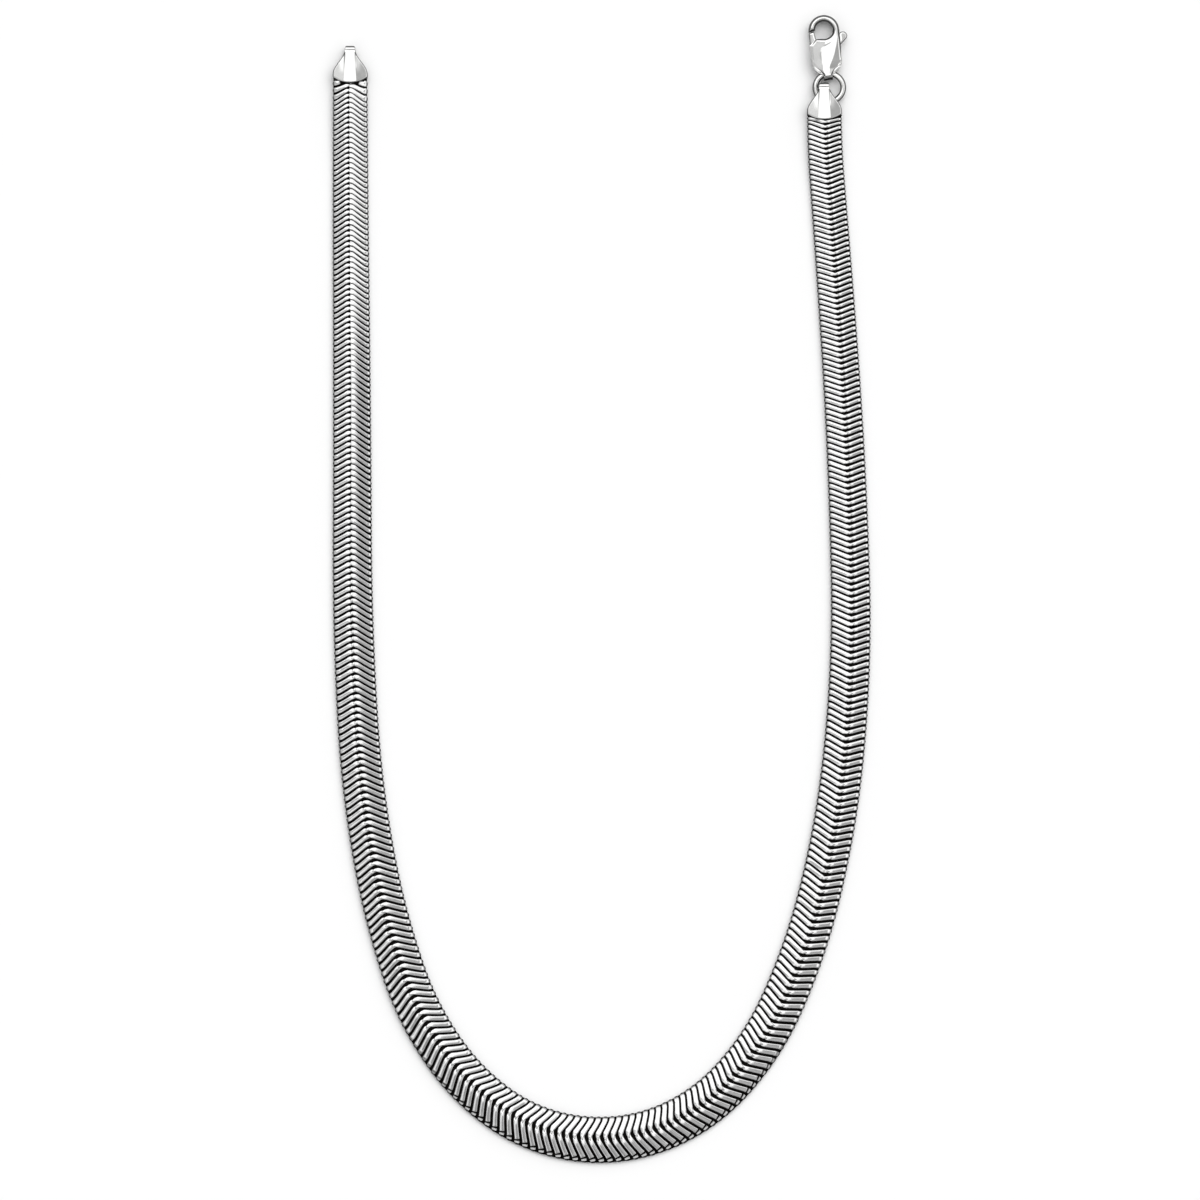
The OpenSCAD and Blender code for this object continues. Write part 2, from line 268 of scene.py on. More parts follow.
def arm_line(reach, half, slant, spacing, inner):
    """Run and slope of an arm's middle line at distances from the ridge, curved at both ends."""
    near, far = [n * spacing for n in SLANT_START[0 if inner else 1]]
    t = np.clip((reach - near) / (far - near), 0, 1)
    run = (far - near) * t * t / 2 + np.maximum(reach - far, 0)
    slope = t
    last = EDGE_EASE * half / WIDEST
    t = np.clip((reach - half + last) / last, 0, 1)
    run = run - (1 - EDGE_SLOPE) * last * t * t / 2
    slope = slope - (1 - EDGE_SLOPE) * t
    return slant * run, slant * slope


def roof(reach, half):
    """Height across the chain as a share of its thickness: rounded at the ridge, then sloping."""
    fall = (1 - EDGE_HIGH) / (1 - EDGE_FLAT / WIDEST)
    share = RIDGE_ROUND / WIDEST
    way = np.abs(reach) / half
    return 1 - fall * (np.sqrt(way ** 2 + share ** 2) - share) + ARCH * way * (1 - way)


def arm_rings(k, inner):
    """Places, directions and sizes of the rings along the wires of ribs k, one row a rib."""
    s0 = rib_place(k + 0.5)
    sign = -1 if inner else 1
    offset = ridge(s0)
    col = {n: v[:, None] for n, v in {
        "half": half_width(s0) - sign * offset,
        "thick": thickness(s0), "base": lift(s0), "offset": offset,
        "pitch": rib_place(k + 1) - rib_place(k),
        "slant": along_chain(k, 1 if inner else 2),
        "wide": along_chain(k, 3 if inner else 4),
        "spine": along_chain(k, 5 if inner else 8),
        "bend": bending(s0),
        "ease": np.minimum(1, from_end(s0) / SLANT_RUN),
        "easing": np.where(from_end(s0) < SLANT_RUN, np.sign(CHAIN_LEN / 2 - s0), 0) / SLANT_RUN,
    }.items()}
    ones = np.ones((len(k), 1))
    start = np.array(INNER_START if inner else OUTER_START)
    arm, back = np.array(ARM), np.array(BACK)
    bent = 0 if inner else np.clip((col["bend"] - BENT_LOW) / (BENT_HIGH - BENT_LOW), 0, 1)
    bent = np.reshape(bent, (-1, 1, 1)) * np.ones((len(k), 1, 1))
    edge = np.array(EDGE) + (np.array(BENT_EDGE) - np.array(EDGE)) * bent
    # Black oxide and painted shade along the rows over the edge
    edge_shade_rows = EDGE_OXIDE_AND_SHADE + (BENT_OXIDE_AND_SHADE - EDGE_OXIDE_AND_SHADE) * bent[:, 0]
    scale = half_width(s0)[:, None] / WIDEST
    first = start[:, 0] * col["pitch"]
    first = np.where(first < 0, first * (1 - NUB_SHORT * col["spine"] * inner), first)
    if not inner:
        first[:, :1] -= UNDER * col["pitch"] * col["spine"]
    last = col["half"] - edge[:, :1, 0] * scale - ARM_STOP
    middle = first[:, -1:] + (last - first[:, -1:]) * arm[:, 0]
    over = col["half"] - edge[:, :, 0] * scale
    behind = over[:, -1:] * (1 - back[:, 0])
    reach = np.concatenate([first, middle, over, behind], axis=1)
    line = roof(reach, col["half"])
    count = [len(start), len(arm), len(EDGE), len(back)]
    a, b, c = count[0], sum(count[:2]), sum(count[:3])
    high = line.copy()
    high[:, :a] += start[:, 3] * (1 - DIP_CUT * col["spine"])
    high[:, b:c] = edge[:, :, 1] + (roof(over[:, :1], col["half"]) - edge[:, :1, 1]) * EDGE_FADE
    high[:, c:] = 0
    share = np.hstack([start[:, 2] * ones, arm[:, 1] * ones, edge[:, :, 2], back[:, 1] * ones])
    if inner:
        share[:, SPINE_RINGS] += (SPINE_SHARE - share[:, SPINE_RINGS]) * col["spine"]
    rest = np.full((len(k), count[3]), BACK_DEEP)
    begin = (START_DEEP + START_DEEPER * start[:, 2]) * ones
    depth = np.hstack([begin, arm[:, 1] * ones, edge[:, :, 3], rest])
    lean = np.degrees(np.arctan2(
        np.diff(line, axis=1, append=0) * -col["thick"], np.diff(reach, axis=1, append=99)))
    tilt = np.hstack([lean[:, :b], edge[:, :, 4], 0 * rest + 180])
    run, slope = arm_line(np.abs(reach), col["half"], col["slant"], col["pitch"], inner)
    spacing = col["pitch"] * (1 + run * col["easing"]) * (1 + sign * reach * col["bend"])
    run, slope = run * col["ease"], slope * col["ease"]
    run[:, :a] += start[:, 1] * col["pitch"]
    inward = behind - over[:, -1:]
    stagger = BACK_STAGGER * col["pitch"] * back[:, 0]
    run[:, c:] = run[:, c - 1:c] + stagger - BACK_SLANT * inward
    slope[:, c:] = BACK_SLANT * col["ease"]
    real = slope * (1 + sign * reach * col["bend"])
    club = col["spine"] * np.clip((SPINE_END - np.abs(reach)) / (SPINE_END - SPINE_START), 0, 1)
    if not inner:
        club *= np.clip(np.abs(reach) / KNUCKLE_START - KNUCKLE_LATE, 0, 1)
    club[:, c:] = 0
    wide = col["wide"] + ((SPINE_WIDE if inner else KNUCKLE) - col["wide"]) * club
    return {
        "s": s0[:, None] + run, "side": col["offset"] + sign * reach,
        "high": col["base"] + col["thick"] * high, "slope": real,
        "wide": spacing * wide * share * np.cos(np.arctan(real)),
        "deep": WIRE_DEPTH * col["thick"] * depth, "tilt": tilt,
        "roll": along_chain(k, 6 if inner else 7)[:, None],
        "front": np.broadcast_to(np.arange(reach.shape[1]) < b, reach.shape),
        "line": np.hstack([0 * line[:, :b], edge_shade_rows, 0 * rest]),
    }


def cap_painted_shadow(s, side):
    """Painted shadow, black as the oxide, on the wires below a cap's curved edge and just beyond it.
    """
    edge = CAP_GRIP - EDGE_R + np.sqrt(np.maximum(EDGE_R ** 2 - side ** 2, 0))
    return np.clip((edge + CAP_SHADOW_REACH - from_end(s)) / CAP_SHADOW_SOFT, 0, 1)


def wire_mesh(k, inner, seed):
    """Points, oxide and painted shade, and grain of the wires of ribs k, shaped (ribs, rings,
    section).
    """
    ring = arm_rings(k, inner)
    sign = -1 if inner else 1
    rng = np.random.default_rng(seed)
    x, y = on_chain(ring["s"], ring["side"])
    turn = heading(np.clip(ring["s"], 0, CHAIN_LEN))
    along = np.stack([np.cos(turn), np.sin(turn)], -1)
    outward = sign * np.stack([np.sin(turn), -np.cos(turn)], -1)
    path = outward + ring["slope"][..., None] * along
    path /= np.linalg.norm(path, axis=-1, keepdims=True)
    flat = np.zeros_like(path[..., :1])
    across = sign * np.concatenate([-path[..., 1:], path[..., :1], flat], -1)
    tilt = np.radians(ring["tilt"])
    face = np.stack([np.sin(tilt) * path[..., 0], np.sin(tilt) * path[..., 1], np.cos(tilt)], -1)
    roll = ring["roll"] + rng.normal(0, ROLL, (len(k), 1))
    roll = np.radians(np.where(ring["front"], roll, 0))[..., None]
    level = across * np.cos(roll) + face * np.sin(roll)
    raised = face * np.cos(roll) - across * np.sin(roll)
    sunk = np.where(ring["front"], rng.uniform(0, SUNK, (len(k), 1)), 0)
    top = np.stack([x, y, ring["high"] - sunk], -1)
    p, q = WIRE[:, 0], WIRE[:, 1]
    points = (
        top[:, :, None, :]
        + level[:, :, None, :] * (ring["wide"] / 2)[..., None, None] * p[None, None, :, None]
        - raised[:, :, None, :] * ring["deep"][..., None, None] * q[None, None, :, None]
    )
    shape = points.shape[:3]
    # Painted shadow under the caps, with the black oxide and painted shade of the rows over the edge
    painted_shade = np.maximum(cap_painted_shadow(ring["s"], ring["side"]), ring["line"])
    oxide_and_shade = np.maximum(WIRE[:, 2], painted_shade[..., None])
    steps = np.linalg.norm(np.diff(top, axis=1), axis=-1)
    run = np.concatenate([np.zeros((len(k), 1)), np.cumsum(steps, axis=1)], 1)
    grain = np.stack([
        np.broadcast_to(run[..., None], shape) + rng.uniform(0, 50, (len(k), 1, 1)),
        np.broadcast_to((ring["wide"] / 2)[..., None] * p, shape),
        np.broadcast_to(rng.uniform(0, 1, (len(k), 1, 1)), shape),
    ], -1)
    return points, oxide_and_shade, grain


def wire_faces(ribs, rings, sides):
    """Quads round each wire, and a fan of triangles over each end."""
    i = np.arange(rings - 1)[:, None] * sides
    j = np.arange(sides)[None, :]
    a = (i + j).ravel()
    b = (i + (j + 1) % sides).ravel()
    quads = np.stack([a, b, b + sides, a + sides], -1)
    first = [0, *range(sides - 1, 0, -1)]
    last = [(rings - 1) * sides + n for n in range(sides)]
    ends = np.array([
        (loop[0], loop[n], loop[n + 1]) for loop in (first, last) for n in range(1, sides - 1)])
    offset = np.arange(ribs)[:, None, None] * rings * sides
    return (quads[None] + offset).reshape(-1, 4), (ends[None] + offset).reshape(-1, 3)


def make_mesh(name, points, quads, triangles, oxide_and_shade, grain):
    """A smooth mesh object in metres with its oxide and painted shade, and its grain, stored at its
    points.
    """
    mesh = bpy.data.meshes.new(name)
    corners = np.concatenate([quads.ravel(), triangles.ravel()]).astype(np.int32)
    starts = np.concatenate([
        np.arange(len(quads)) * 4, len(quads) * 4 + np.arange(len(triangles)) * 3
    ]).astype(np.int32)
    mesh.vertices.add(len(points))
    mesh.vertices.foreach_set("co", (points * MM).astype(np.float32).ravel())
    mesh.loops.add(len(corners))
    mesh.loops.foreach_set("vertex_index", corners)
    mesh.polygons.add(len(starts))
    mesh.polygons.foreach_set("loop_start", starts)
    mesh.update(calc_edges=True)
    mesh.validate()
    mesh.polygons.foreach_set("use_smooth", np.ones(len(mesh.polygons), bool))
    mesh.attributes.new("oxide_and_shade", "FLOAT", "POINT").data.foreach_set(
        "value", oxide_and_shade.astype(np.float32).ravel())
    mesh.attributes.new("grain", "FLOAT_VECTOR", "POINT").data.foreach_set(
        "vector", grain.astype(np.float32).ravel())
    piece = bpy.data.objects.new(name, mesh)
    bpy.context.scene.collection.objects.link(piece)
    return piece


def weave(name, first, last):
    """One stretch of the woven chain, from rib first up to rib last."""
    k = np.arange(first, last).astype(float)
    parts = []
    for inner in (True, False):
        points, oxide_and_shade, grain = wire_mesh(k, inner, seed=first + inner)
        quads, triangles = wire_faces(*points.shape[:3])
        if not inner:
            # The outer wires are the inner ones' mirror, so their faces are turned over
            quads, triangles = quads[:, ::-1], triangles[:, ::-1]
        parts.append((points.reshape(-1, 3), quads, triangles, oxide_and_shade.ravel(), grain.reshape(-1, 3)))
    # The link band, painted black as the shade seen between the wires
    parts.append(painted_shade_links(first, last))
    start = 0
    joined = [[], [], [], [], []]
    for points, quads, triangles, oxide_and_shade, grain in parts:
        joined[0].append(points)
        joined[1].append(quads + start)
        joined[2].append(triangles + start)
        joined[3].append(oxide_and_shade)
        joined[4].append(grain)
        start += len(points)
    points, quads, triangles, oxide_and_shade, grain = [np.concatenate(j) for j in joined]
    return make_mesh(name, points, quads, triangles, oxide_and_shade, grain)


def painted_shade_links(first, last):
    """The crossing of the links between the front and back arms, a low closed band painted black as
    the shade seen through the gaps.
    """
    s = rib_place(np.arange(first, last + 1))
    s = np.clip(s + LINK_LATE, LINK_END, CHAIN_LEN - LINK_END)
    side = LINK_ACROSS[None] * half_width(s)[:, None]
    run = s[:, None] + np.abs(side) * LINK_SLANT * np.minimum(1, from_end(s) / LINK_EASE)[:, None]
    x, y = on_chain(np.clip(run, LINK_END, CHAIN_LEN - LINK_END), side)
    z = lift(s)[:, None] + LINK_HIGH[None] * thickness(s)[:, None]
    points = np.stack([x, y, z], -1)
    quads, triangles = wire_faces(1, len(s), len(LINK_ACROSS))
    flat = points.reshape(-1, 3)
    return flat, quads, triangles, np.ones(len(flat)), np.zeros((len(flat), 3))


# Painted shade on steep sides, for their reflection of the shadow on the table: where it begins and is
# complete, as a share of the way from face on to edge on, and what is left then
WIRE_EDGE_SHADE = (0.14, 0.62, 0.05)
BRIGHT_EDGE_SHADE = (0.08, 0.36, 0.06)
# Colours of the black oxide, also used for painted shade, the polished silver and the table
OXIDE_AND_SHADE_COLOUR = (0.012, 0.011, 0.010, 1)
SILVER = (0.92, 0.92, 0.91, 1)
TABLE = (0.9, 0.9, 0.9, 1)
# Fineness of the lines drawn along a wire: along it, across it, and from wire to wire
DRAWN = (1.6, 14.0, 9.0)
# Relief of the fine wear lines, in metres
SCRATCH = 0.00001


def node_group(material):
    """Turns a material's or world's nodes on, with nothing in them yet."""
    material.use_nodes = True
    tree = material.node_tree
    tree.nodes.clear()
    return tree.nodes, tree.links


def add(nodes, kind, **values):
    """A shader node with its properties set, and its inputs by name in inputs."""
    node = nodes.new(kind)
    for key, value in values.items():
        if key == "inputs":
            for socket, number in value.items():
                node.inputs[socket].default_value = number
        else:
            setattr(node, key, value)
    return node


def silver_base(name):
    """A metal, returned with its nodes for its colour, roughness and relief."""
    material = bpy.data.materials.new(name)
    nodes, links = node_group(material)
    out = add(nodes, "ShaderNodeOutputMaterial")
    shader = add(nodes, "ShaderNodeBsdfPrincipled", inputs={"Metallic": 1.0})
    links.new(shader.outputs[0], out.inputs[0])
    return material, nodes, links, shader


def mapped(nodes, links, source, low, high, first, last, kind="LINEAR"):
    """A value that goes from first to last as source goes from low to high."""
    node = add(nodes, "ShaderNodeMapRange", interpolation_type=kind, inputs={
        "From Min": low, "From Max": high, "To Min": first, "To Max": last})
    links.new(source, node.inputs["Value"])
    return node.outputs[0]


def eased(nodes, links, source, low, high, first, last):
    """The same, slow at both ends."""
    return mapped(nodes, links, source, low, high, first, last, "SMOOTHSTEP")


def scratched(nodes, links, shader, lines, strength):
    """Gives the metal the faint relief of its wear lines."""
    bump = add(nodes, "ShaderNodeBump", inputs={"Strength": strength, "Distance": SCRATCH})
    links.new(lines.outputs["Fac"], bump.inputs["Height"])
    links.new(bump.outputs[0], shader.inputs["Normal"])


def painted_edge_shade(nodes, links, colour, shader, low, high, least):
    """Paints shade into the colour of steep sides seen edge on: a painted reflection of the silver's
    own shadow on the table.
    """
    facing = add(nodes, "ShaderNodeLayerWeight", inputs={"Blend": 0.5})
    away = eased(nodes, links, facing.outputs["Facing"], low, high, 1.0, least)
    lie = add(nodes, "ShaderNodeNewGeometry")
    split = add(nodes, "ShaderNodeSeparateXYZ")
    links.new(lie.outputs["Normal"], split.inputs[0])
    level = add(nodes, "ShaderNodeMath", operation="ABSOLUTE")
    links.new(split.outputs["Z"], level.inputs[0])
    steep = eased(nodes, links, level.outputs[0], 1 - high, 1 - low, least, 1.0)
    most = add(nodes, "ShaderNodeMath", operation="MAXIMUM")
    links.new(away, most.inputs[0])
    links.new(steep, most.inputs[1])
    product = add(nodes, "ShaderNodeVectorMath", operation="SCALE")
    links.new(colour, product.inputs[0])
    links.new(most.outputs[0], product.inputs["Scale"])
    links.new(product.outputs[0], shader.inputs["Base Color"])


def woven_silver():
    """Silver wire, finely drawn along its length, with black oxide down its sides and painted shade
    under the caps, at the edges and in the link band.
    """
    material, nodes, links, shader = silver_base("woven_silver")
    grain = add(nodes, "ShaderNodeAttribute", attribute_name="grain")
    oxide_and_shade = add(nodes, "ShaderNodeAttribute", attribute_name="oxide_and_shade")
    scale = add(nodes, "ShaderNodeVectorMath", operation="MULTIPLY", inputs={1: DRAWN})
    links.new(grain.outputs["Vector"], scale.inputs[0])
    lines = add(nodes, "ShaderNodeTexNoise", inputs={"Scale": 1.0, "Detail": 3.0, "Roughness": 0.6})
    links.new(scale.outputs[0], lines.inputs["Vector"])
    wear = add(nodes, "ShaderNodeTexNoise", inputs={"Scale": 900.0, "Detail": 2.0})
    place = add(nodes, "ShaderNodeTexCoord")
    links.new(place.outputs["Object"], wear.inputs["Vector"])
    rough = mapped(nodes, links, lines.outputs["Fac"], 0.3, 0.7, 0.10, 0.20)
    bare = mapped(nodes, links, lines.outputs["Fac"], 0.3, 0.7, 0.76, 0.97)
    edge = add(nodes, "ShaderNodeMath", operation="MULTIPLY_ADD", inputs={1: 0.3, 2: -0.15})
    links.new(wear.outputs["Fac"], edge.inputs[0])
    oxide_shade_and_wear = add(nodes, "ShaderNodeMath", operation="ADD", use_clamp=True)
    links.new(oxide_and_shade.outputs["Fac"], oxide_shade_and_wear.inputs[0])
    links.new(edge.outputs[0], oxide_shade_and_wear.inputs[1])
    dark_share = eased(nodes, links, oxide_shade_and_wear.outputs[0], 0.25, 0.75, 0.0, 1.0)
    silver = add(nodes, "ShaderNodeCombineColor")
    for socket in ("Red", "Green", "Blue"):
        links.new(bare, silver.inputs[socket])
    # Black of the oxide and of the painted shade
    colour = add(nodes, "ShaderNodeMix", data_type="RGBA", inputs={7: OXIDE_AND_SHADE_COLOUR})
    links.new(dark_share, colour.inputs[0])
    links.new(silver.outputs[0], colour.inputs[6])
    # Painted shade on the wires' steep sides
    painted_edge_shade(nodes, links, colour.outputs[2], shader, *WIRE_EDGE_SHADE)
    matt = mapped(nodes, links, dark_share, 0.0, 1.0, 0.0, 0.4)
    total = add(nodes, "ShaderNodeMath", operation="ADD", use_clamp=True)
    links.new(rough, total.inputs[0])
    links.new(matt, total.inputs[1])
    links.new(total.outputs[0], shader.inputs["Roughness"])
    scratched(nodes, links, shader, lines, 0.25)
    return material


def bright_silver():
    """Polished cast silver with faint wear lines, cloudy polish, and painted shade on its steep sides.
    """
    material, nodes, links, shader = silver_base("bright_silver")
    place = add(nodes, "ShaderNodeTexCoord")
    stretch = add(nodes, "ShaderNodeMapping", inputs={"Scale": (1500.0, 260.0, 900.0)})
    links.new(place.outputs["Object"], stretch.inputs["Vector"])
    lines = add(nodes, "ShaderNodeTexNoise", inputs={"Scale": 1.0, "Detail": 4.0})
    links.new(stretch.outputs[0], lines.inputs["Vector"])
    cloud = add(nodes, "ShaderNodeTexNoise", inputs={"Scale": 350.0, "Detail": 2.0})
    links.new(place.outputs["Object"], cloud.inputs["Vector"])
    rough = mapped(nodes, links, cloud.outputs["Fac"], 0.3, 0.7, 0.09, 0.18)
    links.new(rough, shader.inputs["Roughness"])
    silver = add(nodes, "ShaderNodeRGB")
    silver.outputs[0].default_value = SILVER
    # Painted shade on the castings' steep sides
    painted_edge_shade(nodes, links, silver.outputs[0], shader, *BRIGHT_EDGE_SHADE)
    scratched(nodes, links, shader, lines, 0.12)
    return material


def frame_of(name):
    """Origin in millimetres and turn in radians of a cap or the clasp."""
    ends = {"cap_left": (CAP_GRIP, 90), "cap_right": (CHAIN_LEN - CAP_GRIP, -90)}
    if name in ends:
        s, turn = ends[name]
        x, y = on_chain(s, 0)
        return np.array([float(x), float(y)]), float(heading(s)) + math.radians(turn)
    at, turn = frame_of("cap_right")
    ring = at + turned(RING_SIDE, LOOP_LOW + RING_MID, turn)
    lean = math.radians(CLASP_LEAN)
    return ring + turned(0, RING_MID - EYE_DROP, lean), lean


def turned(x, y, angle):
    c, s = math.cos(angle), math.sin(angle)
    return np.array([x * c - y * s, x * s + y * c])


def wall_distance(points, walls):
    """Distance in plan from every point to the nearest point of the upright walls."""
    tree = KDTree(len(walls))
    for n, (x, y) in enumerate(walls):
        tree.insert((x, y, 0), n)
    tree.balance()
    return np.array([tree.find((x, y, 0))[2] for x, y in points])


def round_edge(distance, radius, drop):
    """Share of the height left near an edge, worn round over a radius."""
    t = 1 - np.clip(distance / radius, 0, 1)
    return 1 - drop * (1 - np.sqrt(1 - t * t))


# A face belongs to a front where its normal's Z is above the first, and to an upright wall where it
# is below the second
FACE_UP, FACE_SIDE = 0.45, 0.35

# Cap's front in millimetres: top, half width of its flat middle at both ends, and the flanks' fall
CAP_TOP = 2.5
FLAT_LOW, FLAT_HIGH = 1.20, 0.85
FLANK_FALL = 0.215
# How far the strap stands above the flanks, and where it begins and is complete
STRAP_STEP = 0.09
STRAP_LOW, STRAP_HIGH = 1.7, 5.0
# Beside the strap: where its step is complete, and where the flank has its own height again
STRAP_SIDE, STRAP_FADE = 0.2, 1.3
# The crease across the strap, where the strap begins to fold over, how square that fold is, how
# far it falls off to the sides, and how round the front's edges are
CREASE_AT, CREASE_DEEP, CREASE_WIDE = 6.0, 0.09, 0.15
FOLD_AT = 5.65
FOLD_POWER = 3.8
ROOF_FALL = 0.182
CAP_ROUND = 0.22
# Lowest points of the front and of its walls, and the end of the cap's open edge
CAP_FACE, CAP_WALL, CAP_EDGE = 1.55, 1.6, 1.2


def cap_front(u, v):
    """Height of a cap's front: flanks falling from a flat middle that rises into the strap."""
    beyond = np.abs(u) - FLAT_LOW - (FLAT_HIGH - FLAT_LOW) * np.clip(v / FOLD_AT, 0, 1)
    step = STRAP_STEP * smoothstep(STRAP_LOW, STRAP_HIGH, v)
    beside = smoothstep(0, STRAP_SIDE, beyond) * (1 - smoothstep(STRAP_SIDE, STRAP_FADE, beyond))
    return CAP_TOP - FLANK_FALL * np.maximum(beyond, 0) - step * beside


# Clasp's front, in millimetres from the tail eye. Columns: distance toward the hook, left and right
# border of the flat facet, left and right rim beside the flanges
CLASP_FRONT = [
    (-0.5, -0.58, 0.20, -0.66, 0.60), (0.1, -0.61, 0.22, -0.75, 0.66), (0.8, -0.65, 0.32, -1.25, 1.10),
    (1.3, -0.60, 0.46, -1.85, 1.92), (1.7, -0.53, 0.62, -2.15, 2.35), (2.2, -0.65, 0.90, -2.34, 2.58),
    (2.8, -0.78, 1.22, -2.52, 2.80), (3.6, -0.88, 1.54, -2.66, 2.98), (4.2, -0.82, 1.74, -2.75, 3.10),
    (4.7, -0.58, 1.90, -2.84, 3.16), (5.0, -0.34, 1.99, -2.90, 3.20), (5.3, 0.12, 2.08, -2.98, 3.23),
    (5.6, 0.88, 2.15, -3.06, 3.25), (6.0, 1.66, 2.25, -3.17, 3.29), (6.4, 2.10, 2.30, -3.20, 3.30),
    (12.0, 2.10, 2.30, -3.20, 3.30),
]
# How far the facet and the right flank lie lower toward the tail
FACET_FALL = [(-0.5, 0), (1.0, 0.12), (2.2, 0.13), (6.4, 0)]
# How far the facet and the cheek lie below the clasp's full height, the slopes of the facet, the
# right flank and the left cheek, and the soft border between facet and cheek
FACET_DROP, CHEEK_DROP = 0.005, 0.03
FACET_SLOPE, FLANK_SLOPE, CHEEK_SLOPE = 0.02, 0.20, 0.15
BORDER = 0.35
# Half heights: of the whole clasp, of the body at least, of the flanges and of the thinnest rim
HALF_T = CLASP_T / 2
BODY_LEAST = 0.87
FLANGE = 0.93
RIM, RIM_DROP, RIM_WIDE = 0.86, 0.09, 0.45
# Where, from the rim, the body falls to the flange
FALL_LOW, FALL_HIGH = -0.05, 0.22
# The groove along a flange: depth, place and width
GROOVE, GROOVE_AT, GROOVE_WIDE = 0.09, 0.28, 0.13
# Distances from the tail eye: the flanges run out, the body turns into the hook, the slot ends,
# and the tail behind it stays as it is
FLANGE_LOW, FLANGE_HIGH = 2.8, 4.0
HOOK_LOW, HOOK_HIGH = 6.0, 7.4
SLOT_LOW, SLOT_HIGH = 7.6, 8.4
TAIL = -0.4
# Radius and depth of the worn edges, how much more both are on the hook, and the hook's top below
# the full height
EDGE_ROUND, HOOK_ROUNDER = 0.50, 0.14
EDGE_DROP, HOOK_DEEPER = 0.40, 0.32
HOOK_DROP = 0.01
# Half heights between which the walls by the faces lie, and above which the faces do. Further from
# a wall than the next number, faces count that lean over no more than the last
WALL_LOW, WALL_HIGH = 0.76, 0.84
FACE_HIGH = 0.8
WALL_CLEAR, LEAN_LEAST = 0.15, -0.3
# The pin's place, the room round it, the metal left over its ends, and their slack below that
PIVOT = (-1.27, 2.81)
PIN_CLEAR = 0.7
SKIN = 0.14
PIN_SHORT = 0.03
# The lever: half height, least of a face's, slope beyond both ends of its level part, worn edges
LEVER_HALF, LEVER_FACE = 0.645, 0.4
LEVER_FALL = 0.13
GATE_FALL_AT, TAB_FALL_AT = -1.6, 3.2
LEVER_ROUND, LEVER_DROP = 0.34, 0.42


def clasp_front(u, v):
    """Half height of the clasp's body: a flat facet, sloping cheeks, and flanges by the tail."""
    table = np.array(CLASP_FRONT)
    left, right, rim_left, rim_right = [
        np.interp(v, table[:, 0], table[:, n]) for n in range(1, 5)]
    top = HALF_T - FACET_DROP - np.interp(v, *np.array(FACET_FALL).T)
    facet = top - FACET_SLOPE * np.maximum(right - u, 0)
    flank = top - FLANK_SLOPE * np.maximum(u - right, 0)
    cheek = HALF_T - CHEEK_DROP - CHEEK_SLOPE * np.maximum(-u, 0)
    body = facet + (cheek - facet) * smoothstep(0, BORDER, left - u)
    body = np.where(u > right, flank, body)
    out = np.maximum(rim_left - u, u - rim_right)
    fall = smoothstep(FALL_LOW, FALL_HIGH, out)
    flange = FLANGE - GROOVE * np.exp(-((out - GROOVE_AT) / GROOVE_WIDE) ** 2)
    low = np.minimum(flange, body)
    flange = flange + (low - flange) * smoothstep(FLANGE_LOW, FLANGE_HIGH, v)
    return np.maximum(body, BODY_LEAST) * (1 - fall) + flange * fall


def carve_cap(points, normals, name):
    """Shapes the front of a cap's points, given in millimetres."""
    at, turn = frame_of(name)
    u, v = turned(*(points[:, :2] - at).T, -turn)
    roof_part = (normals[:, 2] > FACE_UP) & (points[:, 2] > CAP_FACE)
    outward = normals[:, 0] * (points[:, 0] - at[0]) + normals[:, 1] * (points[:, 1] - at[1]) > 0
    wall = (np.abs(normals[:, 2]) < FACE_SIDE) & (points[:, 2] > CAP_WALL)
    wall &= outward | (v < CAP_EDGE)
    e = wall_distance(points[:, :2], points[wall, :2])
    front = cap_front(u, v) - CAP_ROUND * (1 - round_edge(e, CAP_ROUND, 1))
    new = np.where(roof_part, front, np.minimum(points[:, 2], front))
    points[:, 2] = np.where(v < FOLD_AT, new, points[:, 2])
    squared_fold(points, at, turn, u, v)
    crease = CREASE_DEEP * np.exp(-((v - CREASE_AT) / CREASE_WIDE) ** 2)
    points[:, 2] -= np.where(points[:, 2] > CAP_TOP - 0.5, crease, 0)
    return points


def carve_cap_left(points, normals):
    return carve_cap(points, normals, "cap_left")


def carve_cap_right(points, normals):
    return carve_cap(points, normals, "cap_right")


def squared_fold(points, at, turn, u, v):
    """Makes the strap's fold flat across and turn down more sharply, within its own size."""
    half = CAP_TOP / 2
    along, up = v - FOLD_AT, points[:, 2] - half
    reach = np.hypot(along, up)
    part = (along > 0) & (reach > 1e-6)
    reach = reach[part]
    a, b = along[part] / reach, np.abs(up[part]) / reach
    roofed = (half - ROOF_FALL * np.abs(u[part])) / np.maximum(b, 0.01)
    limit = np.where(up[part] > 0, np.minimum(half, roofed), half)
    wide = half / limit * (a ** FOLD_POWER + b ** FOLD_POWER) ** (-1 / FOLD_POWER)
    grown = reach * (1 + (wide - 1) * smoothstep(LOOP_R, limit, reach))
    points[part, :2] += np.outer((grown - reach) * a, turned(0, 1, turn))
    points[part, 2] += (grown - reach) * b * np.sign(up[part])


